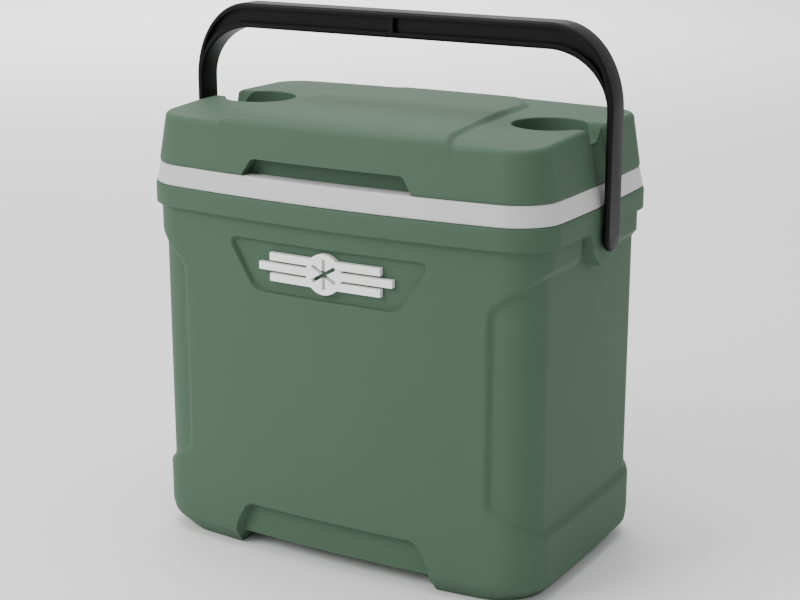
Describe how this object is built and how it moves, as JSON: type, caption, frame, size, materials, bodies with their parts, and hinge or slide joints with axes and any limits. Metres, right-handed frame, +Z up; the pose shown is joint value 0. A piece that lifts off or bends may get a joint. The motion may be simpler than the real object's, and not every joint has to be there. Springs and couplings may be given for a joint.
{
  "type": "picnic cooler",
  "caption": "Moulded hard cooler chest with a foam-filled body and hinged lid, drink recesses in the lid and a swing-up bail handle.",
  "frame": {"origin": "on the ground under the middle of the chest, which stands on its two side runners", "axes": "+Z up, -Y the front with the badge, +X to the right as seen from the front"},
  "size_m": [0.437, 0.27, 0.499],
  "materials": {
    "green_plastic": "satin moulded",
    "grey_plastic": "satin moulded",
    "white_plastic": "semi-gloss",
    "black_plastic": "satin moulded",
    "insulation_foam": "rigid foam",
    "acetal": "smooth",
    "steel": "plated"
  },
  "bodies": {
    "chest": {"body_shell": "green_plastic", "body_foam": "insulation_foam", "liner_tub": "grey_plastic", "badge": "white_plastic", "pivot_bush_left": "acetal", "pivot_bush_right": "acetal", "hinge_body_leaf_left": "grey_plastic", "hinge_body_leaf_right": "grey_plastic", "hinge_pin_left": "steel", "hinge_pin_right": "steel", "body_leaf_screw_left_1": "steel", "body_leaf_screw_left_2": "steel", "body_leaf_screw_right_1": "steel", "body_leaf_screw_right_2": "steel"},
    "lid": {"lid_shell": "green_plastic", "lid_foam": "insulation_foam", "lid_liner": "grey_plastic", "hinge_lid_leaf_left": "grey_plastic", "hinge_lid_leaf_right": "grey_plastic", "lid_leaf_screw_left_1": "steel", "lid_leaf_screw_left_2": "steel", "lid_leaf_screw_right_1": "steel", "lid_leaf_screw_right_2": "steel"},
    "bail": {"bail_handle": "black_plastic"}
  },
  "joints": [
    {"name": "lid_hinge", "type": "hinge", "parent": "chest", "child": "lid", "pos_m": [0, 0.1311, 0.36085], "axis": [-1, 0, 0], "range_deg": [0, 18]},
    {"name": "bail_swing", "type": "hinge", "parent": "chest", "child": "bail", "pos_m": [0, 0, 0.315], "axis": [1, 0, 0], "range_deg": [-115, 115]}
  ]
}
